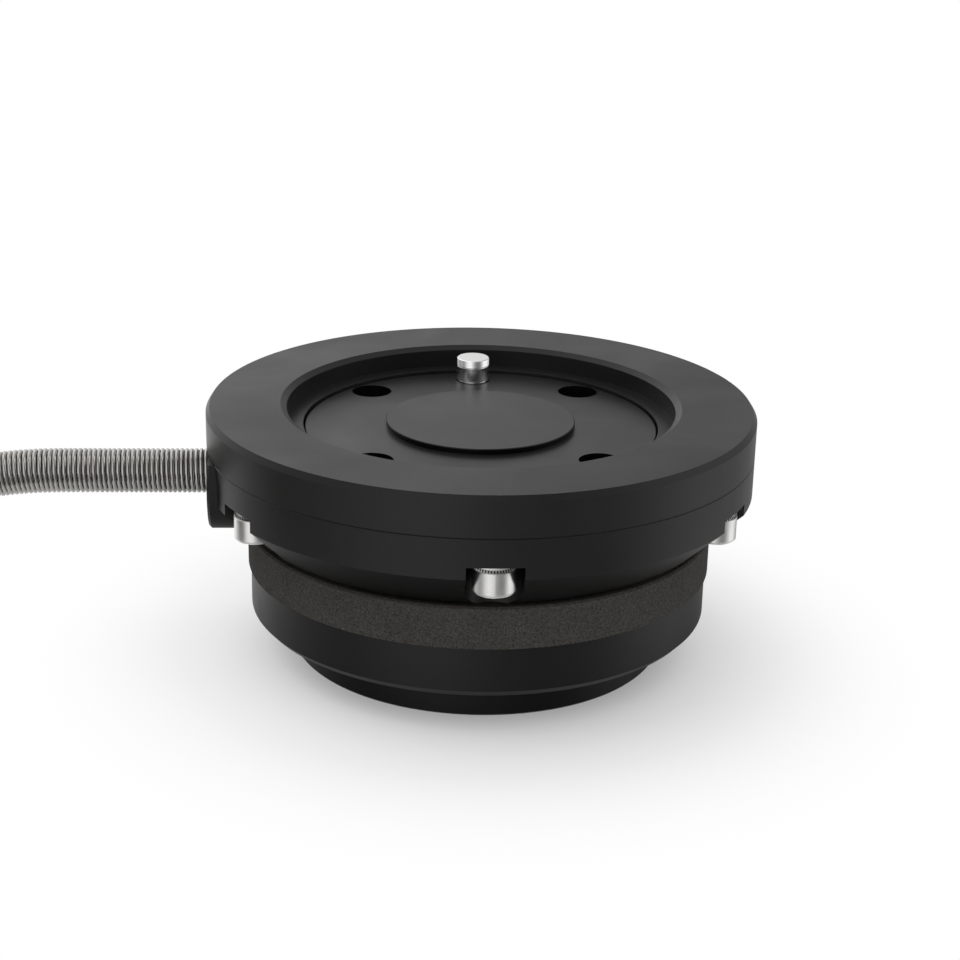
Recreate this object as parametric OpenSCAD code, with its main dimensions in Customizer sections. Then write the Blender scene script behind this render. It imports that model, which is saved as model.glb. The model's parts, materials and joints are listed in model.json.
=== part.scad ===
// Six-axis force torque sensor for a robot wrist, with its robot-side coupling.
// Millimetres. The origin is the centre of the tool-side face, +Z runs to the robot,
// +Y points at the dowel pin, and the armoured conduit leaves along -X.

/* [Tool body] */
// Diameter of the narrow tool-side face
base_d = 61.3; // [59:0.1:64]
// Height of the narrow tool-side step
base_h = 6.5; // [5:0.1:8]
// Diameter of the housing above the step
body_d = 75.3; // [74.5:0.1:77]
// Width of the chamfer under the housing
body_chamfer_w = 1.0; // [0.5:0.1:1.6]
// Height of the chamfer under the housing
body_chamfer_h = 1.1; // [0.6:0.1:1.8]
// Height of the plain side of the housing
body_side_h = 7.2; // [6:0.1:9]
// Thickness of the wall that stands inside the foam ring
body_wall = 2.0; // [1.5:0.1:2.4]
// Thickness of the floor over the tool-side face
body_floor = 10.0; // [9:0.1:11]
// Diameter of the well in the floor, under the sensing element
body_well_d = 52; // [48:0.5:54]

/* [Foam ring] */
// Outer diameter of the foam dust seal
foam_d = 76.2; // [76:0.1:78.5]
// Height of the foam dust seal
foam_h = 6.8; // [5.5:0.1:8]
// Radial thickness of the foam dust seal
foam_t = 2.5; // [2:0.1:3]
// Working gap between the foam ring and the skirt of the sensor flange
skirt_gap = 0.45; // [0.3:0.05:0.8]

/* [Sensor flange] */
// Outer diameter of the sensor flange and of the coupling ring
ring_d = 89.0; // [88:0.1:91]
// Height of the plain side of the sensor flange
flange_h = 6.5; // [6:0.1:8]
// Height of the tapered skirt below the plain side
skirt_h = 6.45; // [6:0.05:7.5]
// Diameter of the lower edge of the tapered skirt
skirt_d = 75.3; // [74:0.1:77]
// Diameter of the round cavity inside the skirt
cavity_d = 66; // [64:0.5:67.5]
// Thickness of the web between the cavity and the plate seat
web_t = 3.5; // [3:0.1:4.2]
// Small edge break along the joint line and the skirt edge
edge_break = 0.12; // [0.05:0.01:0.25]

/* [Coupling ring] */
// Thickness of the coupling ring
coupling_h = 6.5; // [6:0.1:8]
// Width of the outer top chamfer
top_chamfer_w = 0.62; // [0.3:0.02:1.2]
// Height of the outer top chamfer
top_chamfer_h = 0.95; // [0.5:0.05:1.5]
// Diameter of the recess that takes the robot's flange
recess_d = 63; // [61:0.5:65]
// Depth of the recess down to its ledge
recess_depth = 3.55; // [3:0.05:4]
// Width of the lead-in chamfer of the recess
mouth_w = 1.0; // [0.5:0.05:1.5]
// Height of the lead-in chamfer of the recess
mouth_h = 0.65; // [0.3:0.05:1.2]

/* [Coupling plate] */
// Diameter of the plate inside the ring's ledge
plate_d = 57.2; // [56.8:0.1:58]
// Radial gap between the plate and the ring's ledge
plate_gap = 0.25; // [0.15:0.05:0.4]
// How far the plate's face lies under the ledge
plate_drop = 0.45; // [0.2:0.05:0.8]
// Diameter of the plate's hidden lower rim
rim_d = 64.6; // [62.5:0.1:65]
// Diameter of the centring boss
boss_d = 30.7; // [28:0.1:31.4]
// Height of the centring boss over the plate's face
boss_h = 0.95; // [0.6:0.05:1.3]
// Pitch circle diameter of the robot-side and tool-side bolts
bolt_pcd = 50; // [49:0.5:51]
// Diameter of the bolt clearance holes
bolt_hole_d = 6.7; // [6.2:0.1:7]
// Diameter of the counterbores for the bolt heads
bolt_head_hole_d = 10.6; // [10:0.1:11]
// Depth of the counterbores for the bolt heads
bolt_head_hole_depth = 5.0; // [4.5:0.1:5.4]
// Diameter of the dowel pin
dowel_d = 5.5; // [4.5:0.1:6]
// Height of the dowel pin over the plate's face
dowel_h = 3.95; // [3:0.05:4.5]
// Depth of the dowel pin's seat in the plate
dowel_seat = 5.0; // [4:0.1:6]
// Height of the undercut at the dowel pin's foot
dowel_neck_h = 0.5; // [0.3:0.05:0.8]
// Diameter of the two pins between plate and flange
plate_pin_d = 4.0; // [3:0.1:4.5]
// Diameter of the pin between ring and flange
ring_pin_d = 3.0; // [2.5:0.1:3.5]

/* [Ring screws] */
// Number of screws around the flange
screw_count = 6; // [3:3:6]
// Distance of the ring screws' axes inside the ring's outer edge
screw_inset = 3.3; // [3.1:0.1:3.6]
// Diameter of the screw heads
screw_head_d = 6.6; // [6:0.1:7]
// Height of the screw heads
screw_head_h = 3.85; // [3.5:0.05:4.2]
// Diameter of the screw shanks
screw_d = 4.0; // [3.5:0.1:4.2]
// Length of the screws under the head
screw_len = 10; // [9:0.5:11]
// Width across the flats of the hexagon sockets
socket_af = 3.0; // [2.5:0.1:3.2]
// Width of the notches that the screw heads sit in
notch_w = 8.6; // [8:0.1:9]
// How far the notches reach above the plain side's lower edge
notch_rise = 2.05; // [1.6:0.05:2.4]
// Total height of the conical lock washers
washer_h = 0.95; // [0.8:0.05:1.1]
// Sheet thickness of the conical lock washers
washer_t = 0.5; // [0.35:0.05:0.6]
// Number of ribs around each lock washer
washer_ribs = 24; // [16:1:30]

/* [Tool side mount] */
// Core diameter of the threaded tool-side holes
tool_thread_d = 5.0; // [4.9:0.05:5.2]
// Depth of the threaded tool-side holes
tool_thread_depth = 8.5; // [7:0.5:8.5]
// Diameter of the tool-side centring recess
tool_recess_d = 31.5; // [31:0.1:32]
// Depth of the tool-side centring recess
tool_recess_depth = 3.0; // [2:0.1:4]
// Diameter of the tool-side dowel hole
tool_dowel_d = 6.0; // [5.5:0.1:6.2]
// Depth of the tool-side dowel hole
tool_dowel_depth = 6.0; // [5:0.5:7]

/* [Cable block] */
// Width of the block that the conduit leaves through
block_w = 30; // [28:0.5:31]
// Height of the block's rounded outline
block_h = 15.3; // [14.5:0.1:15.8]
// Height of the outline's centre over the tool-side face
block_z = 30.35; // [30:0.05:30.7]
// How far the block's end face lies inside the ring's outer edge
block_set = 0.9; // [0.5:0.1:1.2]
// Wall between the block's pocket and the plate's seat
block_wall = 2.4; // [2:0.1:2.8]
// Edge chamfer around the block's end face
block_chamfer = 0.4; // [0.2:0.05:0.7]
// Running clearance of the block in its pocket
block_gap = 0.1; // [0.05:0.05:0.2]
// Diameter of the two countersunk block screws
block_screw_d = 3.0; // [2.5:0.1:3.2]
// How far the two block screws reach past the pocket
block_screw_bite = 3.4; // [2.5:0.1:3.6]
// Distance between the two block screws
block_screw_gap = 21; // [20:0.5:22]

/* [Conduit] */
// Outer diameter of the armoured conduit
conduit_d = 7.4; // [7:0.1:7.6]
// Height of the conduit's axis over the tool-side face
conduit_z = 29.4; // [29.2:0.1:29.6]
// Room in the block for the wires, behind the conduit's end
wire_room = 3.6; // [3.5:0.1:4.2]
// Radius of the stored coil, at the middle of the conduit
coil_r = 37; // [35:1:44]
// Number of turns in the stored coil
coil_turns = 3; // [2:1:4]
// Climb of each turn of the stored coil
coil_pitch = 7.6; // [7.5:0.1:8]

/* [Sensing element] */
// Diameter of the element's hub
hub_d = 24; // [23:0.5:25]
// Diameter of the hub's central hole
hub_bore_d = 6; // [5:0.5:8]
// Thickness of the element's outer ring
element_ring_t = 5.5; // [4.5:0.1:6]
// Inner diameter of the element's outer ring
element_ring_id = 53; // [52:0.5:54]
// Thickness of the beams
beam_t = 4.0; // [3.5:0.1:4.4]
// Width of the beams
beam_w = 7.0; // [6:0.1:8]
// Number of beams
beam_count = 3; // [3:1:4]
// Diameter of the paired holes that thin each beam
beam_hole_d = 2.6; // [2:0.1:2.8]
// Diameter of the screws that hold the element
element_screw_d = 3.0; // [2.5:0.1:3.2]
// Radial clearance of the element in the body
element_gap = 0.3; // [0.2:0.05:0.4]

/* [Electronics] */
// Outer diameter of the signal board
board_d = 62; // [60:0.5:63]
// Inner diameter of the signal board
board_id = 27; // [26:0.5:28]
// Thickness of the signal board
board_t = 1.6; // [1.2:0.1:1.8]
// Height of the spacers over the signal board
spacer_h = 2.2; // [2:0.1:2.4]
// Diameter of the board screws
board_screw_d = 2.5; // [2:0.1:2.6]
// Diameter of the wire bundle inside the housing
wires_d = 1.8; // [1.4:0.1:1.9]

/* [Plug] */
// Diameter of the plug's knurled nut
plug_nut_d = 14.6; // [14:0.1:15]
// Length of the plug's knurled nut
plug_nut_len = 9; // [8:0.5:11]
// Diameter of the plug's moulded body
plug_body_d = 12.4; // [11.5:0.1:13]
// Length of the plug's moulded body
plug_body_len = 24; // [22:1:28]
// Diameter of the plug's thread
plug_thread_d = 12; // [11.5:0.1:12]
// Length of the plug's thread
plug_thread_len = 6; // [5:0.5:8]
// Number of grip ribs around the nut
plug_ribs = 24; // [16:1:30]

/* [Hidden] */
$fn = 96;
eps = 0.01;

// Levels, from the tool-side face upwards
chamfer_z = base_h + body_chamfer_h;
foam_z = chamfer_z + body_side_h;
foam_top_z = foam_z + foam_h;
skirt_z = foam_top_z + skirt_gap;
side_z = skirt_z + skirt_h;
split_z = side_z + flange_h;
top_z = split_z + coupling_h;
ledge_z = top_z - recess_depth;
plate_z = ledge_z - plate_drop;
boss_z = plate_z + boss_h;

// Plate seat in the sensor flange
web_drop = 5.5;
web_top_z = split_z - web_drop;
web_z = web_top_z - web_t;
seat_d = rim_d + 0.6;

// Fits shared by pins, screws and their holes
pin_fit = 0.02;
thread_fit = 0.05;
hole_play = 0.3;
end_play = 0.5;
lay_gap = 0.02;

// Angles of the first ring screw and of the first bolt, clear of the conduit and the dowel
screw_start = 30;
bolt_start = 45;

// Rubber seal under the coupling plate
seal_t = 1.2;
seal_r = rim_d / 2 - 2;
seal_squeeze = 0.03;

// Wall of the tool body inside the foam
foam_id = foam_d - 2 * foam_t;
wall_top_z = foam_top_z - 0.3;
wall_id = foam_id - 2 * body_wall;

// Sensing element
well_depth = 4;
shoulder_z = body_floor + well_depth;
element_d = wall_id - 2 * element_gap;
beam_z = shoulder_z + element_ring_t - beam_t;
element_head_d = element_screw_d + 2.5;
element_head_h = 2.4;
element_screw_r = (element_ring_id + element_d) / 4;
element_thread = 2.8;
element_af = 2.5;
small_edge = 0.2;
head_sink = 0.2;
hub_wall = 0.6;
hub_screw_r = hub_bore_d / 2 + hub_wall + element_head_d / 2;

// Signal board
board_z = web_z - spacer_h - board_t;
board_screw_r = board_d / 2 - 3.2;
spacer_d = 5;
board_thread = 2;
board_head_h = 1.4;
chip_h = 1.2;
socket_len = 4;
socket_w = 8;
wire_plug_len = 3;
wire_plug_inset = 5;
wire_plug_x = wire_plug_inset - board_d / 2;
wires_z = board_z + board_t + spacer_h / 2;

// Chips under the board, each as [length, width, radius, angle]
chip_r = 22;
chip_w = 9;
amp_len = 6;
amp_w = 5;
coil_chip_len = 4;
clock_w = 3;
chips = [
  [chip_w, chip_w, chip_r, 0], [amp_len, amp_w, chip_r, 62], [amp_len, amp_w, chip_r, 118],
  [coil_chip_len, amp_len, chip_r, 235], [amp_w, clock_w, chip_r, 305]
];

// Ring screws, hanging heads down in their notches
screw_r = ring_d / 2 - screw_inset;
notch_z = side_z + notch_rise;
head_top_z = notch_z - washer_h;

// Cable block
block_reach = ring_d / 2 - block_set;
block_back = seat_d / 2 + block_wall;
block_len = block_reach - block_back;
block_r = block_h / 2;
block_side = block_w / 2 - block_r;
block_screw_z = (web_z + web_top_z) / 2;
block_head_d = 2 * block_screw_d;
block_head_h = block_screw_d / 2;
block_screw_len = block_len + block_screw_bite;
conduit_end_x = -(block_back + wire_room);
clamp_x = (conduit_end_x - block_reach) / 2;
wire_shaft_d = 3.4;
wire_turn = 1.4;
wire_shaft_x = conduit_end_x + wire_turn;
clamp_d = 3;

// Free run of the conduit, from the block down to the coil, laid on the surface that the
// sensor stands on
conduit_route = [
  [conduit_end_x, 0, conduit_z], [-44, 0, 29.4], [-50, 0, 29.4], [-56, 0, 29.4], [-62, 0, 29.4],
  [-67, 0, 29.4], [-72, 0, 29.3], [-77, 0, 28.9], [-82, 0, 28.2], [-87, 0, 27.5],
  [-92, 0, 26.9], [-97, 0, 26.6], [-102, 0, 26.5], [-107, 0, 26.5]
];
coil_x = -123;
coil_center = [coil_x, -coil_r];
coil_top_z = conduit_d + coil_turns * coil_pitch;

// Last stretch of the conduit, from the coil to the plug
tail_route = [
  [-139, 0, 3.7], [-143, 0, 3.8], [-148, 0, 4.4], [-153, 0, 5.5], [-158, 0, 6.6], [-162, 0, 7.2],
  [-166, 0, 7.3], [-171, 0, 7.3]
];

// Plug, lying on the same surface
plug_z = plug_nut_d / 2;
sleeve_x = -166;
sleeve_len = 12;
sleeve_d = 10;
sleeve_seat = 5;
sleeve_neck = 2;
plug_body_x = sleeve_x - sleeve_len;
plug_nut_x = plug_body_x - plug_body_len;
insert_d = 8.4;
insert_seat = 5;
insert_well = 7;
pin_count = 5;
pin_pcd = 4.8;
pin_d = 1;
pin_len = 8;
insert_len = plug_nut_len + plug_thread_len - 0.3;
pin_start = insert_len - pin_len - 0.7;

// ---------------------------------------------------------------- shared shapes

// Turns a list of [radius, height] points around the axis
module turned(points) {
  rotate_extrude() polygon(points);
}

// Ring between two heights
module tube(outer_d, inner_d, z0, z1) {
  translate([0, 0, z0])
    difference() {
      cylinder(d = outer_d, h = z1 - z0);
      translate([0, 0, -eps]) cylinder(d = inner_d, h = z1 - z0 + 2 * eps);
    }
}

// Round bar between two heights
module bar(d, z0, z1) {
  translate([0, 0, z0]) cylinder(d = d, h = z1 - z0);
}

// Copies its children around the axis
module around(count, radius, start = 0) {
  for (i = [0 : count - 1])
    rotate([0, 0, start + i * 360 / count]) translate([radius, 0, 0]) children();
}

// Socket head screw with its bearing face at z = 0, its head below and its shank above
module cap_screw(d, len, head_d, head_h, af, soft_edge = 0.3) {
  difference() {
    union() {
      cylinder(d = d, h = len);
      turned([
        [0, -head_h], [head_d / 2 - soft_edge, -head_h], [head_d / 2, -head_h + soft_edge],
        [head_d / 2, 0], [0, 0]
      ]);
    }
    translate([0, 0, -head_h - eps]) cylinder(d = af / cos(30), h = head_h * 0.6, $fn = 6);
  }
}

// Lays its children's +Z along -X, with z = 0 at the given distance from the axis
module outwards(x, z) {
  translate([x, 0, z]) rotate([0, -90, 0]) children();
}

// Outline of the cable block, seen along the conduit
module block_outline(grow) {
  offset_r = block_r + grow;
  translate([block_z, 0]) {
    square([2 * offset_r, 2 * block_side], center = true);
    for (side = [-1, 1]) translate([0, side * block_side]) circle(r = offset_r);
  }
}

// Direction of the route at point i
function heading(p, i) =
  let (d = p[min(i + 1, len(p) - 1)] - p[max(i - 1, 0)]) d / norm(d);

// Tube swept along a route that stays in one upright plane
module swept(p, d, sides) {
  n = len(p);
  across = [0, 1, 0];
  rings = [for (i = [0 : n - 1], k = [0 : sides - 1])
    let (t = heading(p, i), up = cross(t, across), a = (k + 0.5) * 360 / sides)
    p[i] + d / 2 * (cos(a) * across + sin(a) * up)];
  walls = [for (i = [0 : n - 2], k = [0 : sides - 1])
    let (a = i * sides + k, b = i * sides + (k + 1) % sides) [a, b, b + sides, a + sides]];
  first = [for (k = [sides - 1 : -1 : 0]) k];
  last = [for (k = [0 : sides - 1]) (n - 1) * sides + k];
  polyhedron(points = rings, faces = concat([first], walls, [last]), convexity = 6);
}

// ---------------------------------------------------------------- robot side

module coupling_ring() {
  ro = ring_d / 2;
  ri = plate_d / 2 + plate_gap;
  rr = recess_d / 2;
  color("#333333")
    difference() {
      turned([
        [ri, split_z], [ro - edge_break, split_z], [ro, split_z + edge_break],
        [ro, top_z - top_chamfer_h], [ro - top_chamfer_w, top_z], [rr + mouth_w, top_z],
        [rr, top_z - mouth_h], [rr, ledge_z], [ri, ledge_z]
      ]);
      around(screw_count, screw_r, screw_start)
        bar(screw_d + 2 * thread_fit, split_z - eps, head_top_z + screw_len + end_play);
      translate([(recess_d + ring_d) / 4, 0, 0])
        bar(ring_pin_d + 2 * pin_fit, split_z - eps, split_z + coupling_h / 2);
    }
}

module coupling_plate() {
  color("#383838")
    difference() {
      turned([
        [0, web_top_z], [rim_d / 2, web_top_z], [rim_d / 2, split_z], [plate_d / 2, split_z],
        [plate_d / 2, plate_z - edge_break], [plate_d / 2 - edge_break, plate_z],
        [boss_d / 2, plate_z], [boss_d / 2, boss_z - edge_break],
        [boss_d / 2 - edge_break, boss_z], [0, boss_z]
      ]);
      around(4, bolt_pcd / 2, bolt_start) {
        bar(bolt_hole_d, web_top_z - eps, plate_z + eps);
        bar(bolt_head_hole_d, web_top_z - eps, web_top_z + bolt_head_hole_depth);
      }
      translate([0, bolt_pcd / 2, 0])
        bar(dowel_d + 2 * pin_fit, plate_z - dowel_seat, plate_z + eps);
      around(2, bolt_pcd / 2)
        bar(plate_pin_d + 2 * pin_fit, web_top_z - eps, split_z - 1);
    }
}

module flange_dowel() {
  lead = 0.35;
  neck_depth = 0.25;
  r = dowel_d / 2;
  color("#c9c9c9")
    translate([0, bolt_pcd / 2, plate_z])
      turned([
        [0, -dowel_seat], [r - lead, -dowel_seat], [r, -dowel_seat + lead], [r, 0],
        [r - neck_depth, 0], [r - neck_depth, dowel_neck_h], [r, dowel_neck_h],
        [r, dowel_h - lead], [r - lead, dowel_h], [0, dowel_h]
      ]);
}

module plate_pins() {
  color("#b8b8b8")
    around(2, bolt_pcd / 2) bar(plate_pin_d, web_top_z - web_t / 2, split_z - 1 - hole_play);
}

module ring_pin() {
  color("#b8b8b8")
    translate([(recess_d + ring_d) / 4, 0, 0])
      bar(ring_pin_d, split_z - flange_h / 2, split_z + coupling_h / 2 - 0.2);
}

module seal_ring() {
  color("#202020")
    translate([0, 0, web_top_z - seal_t / 2 - seal_squeeze])
      rotate_extrude() translate([seal_r, 0]) circle(d = seal_t, $fn = 32);
}

// Slot for one screw head, open towards the rim and downwards
module notch() {
  translate([0, 0, skirt_z - 1])
    linear_extrude(notch_z - skirt_z + 1) {
      circle(d = notch_w);
      translate([0, -notch_w / 2]) square([ring_d / 4, notch_w]);
    }
}

module sensor_flange() {
  ro = ring_d / 2;
  rc = cavity_d / 2;
  color("#303030")
    difference() {
      turned([
        [0, web_z], [rc, web_z], [rc, skirt_z], [skirt_d / 2, skirt_z],
        [ro - edge_break, side_z], [ro, side_z + edge_break], [ro, split_z - edge_break],
        [ro - edge_break, split_z], [seat_d / 2, split_z], [seat_d / 2, web_top_z],
        [0, web_top_z]
      ]);
      tube(
        2 * seal_r + seal_t + 0.4, 2 * seal_r - seal_t - 0.4,
        web_top_z - seal_t - 2 * seal_squeeze, split_z
      );
      around(screw_count, screw_r, screw_start) {
        notch();
        bar(screw_d + hole_play, notch_z - eps, split_z + eps);
      }
      outwards(-block_back, 0) linear_extrude(ring_d / 4) block_outline(block_gap);
      for (side = [-1, 1])
        outwards(block_screw_len + end_play - block_reach, block_screw_z)
          translate([0, side * block_screw_gap / 2, 0])
            cylinder(d = block_screw_d + 2 * thread_fit, h = block_screw_len);
      outwards(1 - rc, wires_z) cylinder(d = wires_d + 0.4, h = rc);
      around(4, hub_screw_r, bolt_start)
        bar(element_screw_d + 2 * thread_fit, web_z - eps, web_z + element_thread);
      around(3, board_screw_r, screw_start)
        bar(board_screw_d + 2 * thread_fit, web_z - eps, web_z + board_thread + hole_play);
      around(2, bolt_pcd / 2)
        bar(plate_pin_d + 2 * pin_fit, web_top_z - web_t / 2, web_top_z + eps);
      translate([(recess_d + ring_d) / 4, 0, 0])
        bar(ring_pin_d + 2 * pin_fit, split_z - flange_h / 2, split_z + eps);
    }
}

module ring_screws() {
  color("#d0d0d0")
    around(screw_count, screw_r, screw_start)
      translate([0, 0, head_top_z])
        cap_screw(screw_d, screw_len, screw_head_d, screw_head_h, socket_af);
}

// Conical spring washer with radial ribs around its rim
module lock_washer() {
  ri = screw_d / 2 + 2 * thread_fit;
  ro = screw_head_d / 2 - thread_fit;
  gap_w = 0.3;
  gap_len = 0.55;
  difference() {
    turned([[ri, washer_h - washer_t], [ro, 0], [ro, washer_t], [ri, washer_h]]);
    around(washer_ribs, ro - gap_len)
      translate([0, -gap_w / 2, -eps]) cube([2 * gap_len, gap_w, washer_h]);
  }
}

module lock_washers() {
  color("#e0e0e0")
    around(screw_count, screw_r, screw_start) translate([0, 0, head_top_z]) lock_washer();
}

// ---------------------------------------------------------------- cable outlet

// Hole from the block's end face inwards, on the conduit's axis
module block_hole(d, reach) {
  outwards(reach - block_reach, conduit_z) cylinder(d = d, h = reach + eps);
}

// Rounded block with a chamfer round its far face
module block_solid(len) {
  edge = [[block_r, len - block_chamfer], [block_r - block_chamfer, len]];
  translate([block_z, 0, 0]) {
    for (side = [-1, 1])
      translate([0, side * block_side, 0])
        turned(concat([[0, 0], [block_r, 0]], edge, [[0, len]]));
    rotate([90, 0, 0])
      linear_extrude(2 * block_side, center = true)
        polygon([
          [-block_r, 0], [block_r, 0], edge[0], edge[1], [-edge[1][0], len], [-block_r, edge[0][1]]
        ]);
  }
}

module cable_block() {
  color("#2c2c2c")
    difference() {
      intersection() {
        outwards(-block_back, 0) block_solid(block_len);
        translate([-ring_d, -ring_d / 2, 0]) cube([ring_d, ring_d, split_z - lay_gap]);
      }
      block_hole(conduit_d + 0.2, block_reach + conduit_end_x);
      block_hole(wire_shaft_d, block_reach + wire_shaft_x);
      translate([wire_shaft_x, 0, 0])
        bar(wire_shaft_d, wires_z - wire_turn, conduit_z + wire_shaft_d / 2);
      outwards(1 - block_back, wires_z) cylinder(d = wires_d + 0.6, h = 3);
      for (side = [-1, 1])
        translate([0, side * block_screw_gap / 2, 0]) {
          outwards(1 - block_back, block_screw_z)
            cylinder(d = block_screw_d + hole_play, h = block_reach);
          outwards(block_head_h - block_reach, block_screw_z)
            cylinder(
              d1 = block_screw_d + hole_play, d2 = block_head_d + hole_play, h = block_head_h + eps
            );
        }
      translate([clamp_x, 0, 0])
        bar(clamp_d + 2 * thread_fit, block_z - block_r - eps, conduit_z);
    }
}

module block_screws() {
  neck = block_screw_len - block_head_h;
  color("#3a3a3a")
    for (side = [-1, 1])
      outwards(block_screw_len - block_reach + lay_gap, block_screw_z)
        translate([0, side * block_screw_gap / 2, 0])
          difference() {
            turned([
              [0, 0], [block_screw_d / 2, 0], [block_screw_d / 2, neck],
              [block_head_d / 2 - edge_break, block_screw_len - edge_break],
              [block_head_d / 2 - edge_break, block_screw_len], [0, block_screw_len]
            ]);
            translate([0, 0, neck + block_head_h / 4])
              cylinder(d = 2 / cos(30), h = block_head_h, $fn = 6);
          }
}

module clamp_screw() {
  z0 = block_z - block_r + hole_play;
  color("#4a4a4a")
    translate([clamp_x, 0, 0])
      difference() {
        bar(clamp_d, z0, conduit_z - conduit_d / 2 - lay_gap);
        translate([0, 0, z0 - eps]) cylinder(d = clamp_d / 2 / cos(30), h = clamp_d / 2, $fn = 6);
      }
}

module inner_wires() {
  route = [
    [conduit_end_x, 0, conduit_z], [conduit_end_x + 0.4, 0, conduit_z],
    [wire_shaft_x - 0.4, 0, conduit_z - 0.3], [wire_shaft_x - 0.1, 0, conduit_z - 1.2],
    [wire_shaft_x, 0, wires_z + 1.3], [wire_shaft_x + 0.4, 0, wires_z + 0.4],
    [wire_shaft_x + 1.3, 0, wires_z], [-block_back, 0, wires_z], [wire_plug_x - 2, 0, wires_z],
    [wire_plug_x, 0, wires_z]
  ];
  color("#5a5a62") swept(route, wires_d, 8);
}

// ---------------------------------------------------------------- sensing element and board

module sensing_element() {
  ring_r = element_ring_id / 2;
  ring_top_z = shoulder_z + element_ring_t;
  mid_r = (hub_d / 2 + ring_r) / 2;
  hole_gap = 0.9 * beam_hole_d;
  slot_w = 0.6;
  color("#a8a8a4")
    difference() {
      union() {
        tube(element_d, element_ring_id, shoulder_z, shoulder_z + element_ring_t);
        bar(hub_d, beam_z, web_z);
        around(beam_count, hub_d / 2 - 1, screw_start)
          translate([0, -beam_w / 2, beam_z]) cube([ring_r - hub_d / 2 + 2, beam_w, beam_t]);
      }
      bar(hub_bore_d, beam_z - eps, web_z + eps);
      around(4, hub_screw_r, bolt_start) {
        bar(element_screw_d + hole_play, beam_z - eps, web_z + eps);
        bar(element_head_d + hole_play, beam_z - eps, beam_z + element_head_h + head_sink);
      }
      around(6, element_screw_r) {
        bar(element_screw_d + hole_play, shoulder_z - eps, ring_top_z + eps);
        bar(element_head_d + hole_play, ring_top_z - element_head_h - head_sink, ring_top_z + eps);
      }
      around(beam_count, mid_r, screw_start)
        translate([0, 0, beam_z + beam_t / 2]) {
          for (side = [-1, 1])
            translate([side * hole_gap, 0, 0])
              rotate([90, 0, 0]) cylinder(d = beam_hole_d, h = beam_w + 2, center = true);
          cube([2 * hole_gap, beam_w + 2, slot_w], center = true);
        }
    }
}

module hub_screws() {
  bearing_z = beam_z + element_head_h + head_sink;
  len = web_z - bearing_z + element_thread - hole_play;
  color("#8c8c8c")
    around(4, hub_screw_r, bolt_start)
      translate([0, 0, bearing_z])
        cap_screw(element_screw_d, len, element_head_d, element_head_h, element_af, small_edge);
}

module element_screws() {
  bearing_z = shoulder_z + element_ring_t - element_head_h - head_sink;
  len = bearing_z - shoulder_z + element_thread;
  color("#8c8c8c")
    around(6, element_screw_r)
      translate([0, 0, bearing_z])
        rotate([180, 0, 0])
          cap_screw(element_screw_d, len, element_head_d, element_head_h, element_af, small_edge);
}

module signal_board() {
  color("#1f5c3a")
    difference() {
      tube(board_d, board_id, board_z, board_z + board_t);
      around(3, board_screw_r, screw_start)
        bar(board_screw_d + hole_play, board_z - eps, board_z + board_t + eps);
    }
}

module board_chips() {
  color("#26262a")
    for (c = chips)
      rotate([0, 0, c[3]])
        translate([c[2] - c[0] / 2, -c[1] / 2, board_z - chip_h]) cube([c[0], c[1], chip_h]);
}

module board_socket() {
  h = spacer_h - small_edge;
  color("#d8d4c4")
    translate([wire_plug_x + wire_plug_len, -socket_w / 2, board_z + board_t])
      cube([socket_len, socket_w, h]);
}

module wire_plug() {
  w = socket_w - 1;
  h = spacer_h - 2 * small_edge;
  color("#e6e2d6")
    translate([wire_plug_x, -w / 2, wires_z - h / 2]) cube([wire_plug_len, w, h]);
}

module board_spacers() {
  color("#b4a060")
    around(3, board_screw_r, screw_start)
      tube(spacer_d, board_screw_d + hole_play, board_z + board_t, web_z);
}

module board_screws() {
  len = board_t + spacer_h + board_thread;
  color("#8c8c8c")
    around(3, board_screw_r, screw_start)
      translate([0, 0, board_z])
        cap_screw(board_screw_d, len, spacer_d - small_edge, board_head_h, 1.5, small_edge);
}

// ---------------------------------------------------------------- tool side

module foam_seal() {
  soft = 0.3;
  ro = foam_d / 2;
  ri = foam_id / 2;
  color("#38342f")
    turned([
      [ri, foam_z], [ro, foam_z], [ro, foam_top_z - soft], [ro - soft, foam_top_z],
      [ri, foam_top_z]
    ]);
}

module tool_body() {
  rb = body_d / 2;
  color("#2e2e2e")
    difference() {
      turned([
        [0, 0], [base_d / 2 - 0.3, 0], [base_d / 2, 0.3], [base_d / 2, base_h],
        [rb - body_chamfer_w, base_h], [rb, chamfer_z], [rb, foam_z], [foam_id / 2, foam_z],
        [foam_id / 2, wall_top_z], [wall_id / 2, wall_top_z], [wall_id / 2, shoulder_z],
        [body_well_d / 2, shoulder_z], [body_well_d / 2, body_floor], [0, body_floor]
      ]);
      around(4, bolt_pcd / 2, bolt_start) bar(tool_thread_d, -eps, tool_thread_depth);
      bar(tool_recess_d, -eps, tool_recess_depth);
      translate([0, bolt_pcd / 2, 0]) bar(tool_dowel_d, -eps, tool_dowel_depth);
      around(6, element_screw_r)
        bar(element_screw_d + 2 * thread_fit, shoulder_z - element_thread - hole_play, shoulder_z + eps);
    }
}

// ---------------------------------------------------------------- conduit and plug

module conduit() {
  color("#b0b0b0") swept(conduit_route, conduit_d, 12);
}

module conduit_coil() {
  color("#a8a8a8")
    translate([coil_center[0], coil_center[1], 0])
      rotate_extrude()
        translate([coil_r, 0]) {
          translate([0, conduit_d / 2]) circle(d = conduit_d, $fn = 32);
          translate([0, coil_top_z - conduit_d / 2]) circle(d = conduit_d, $fn = 32);
          translate([-conduit_d / 2, conduit_d / 2]) square([conduit_d, coil_top_z - conduit_d]);
        }
}

module conduit_tail() {
  color("#b0b0b0") swept(tail_route, conduit_d, 12);
}

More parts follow.
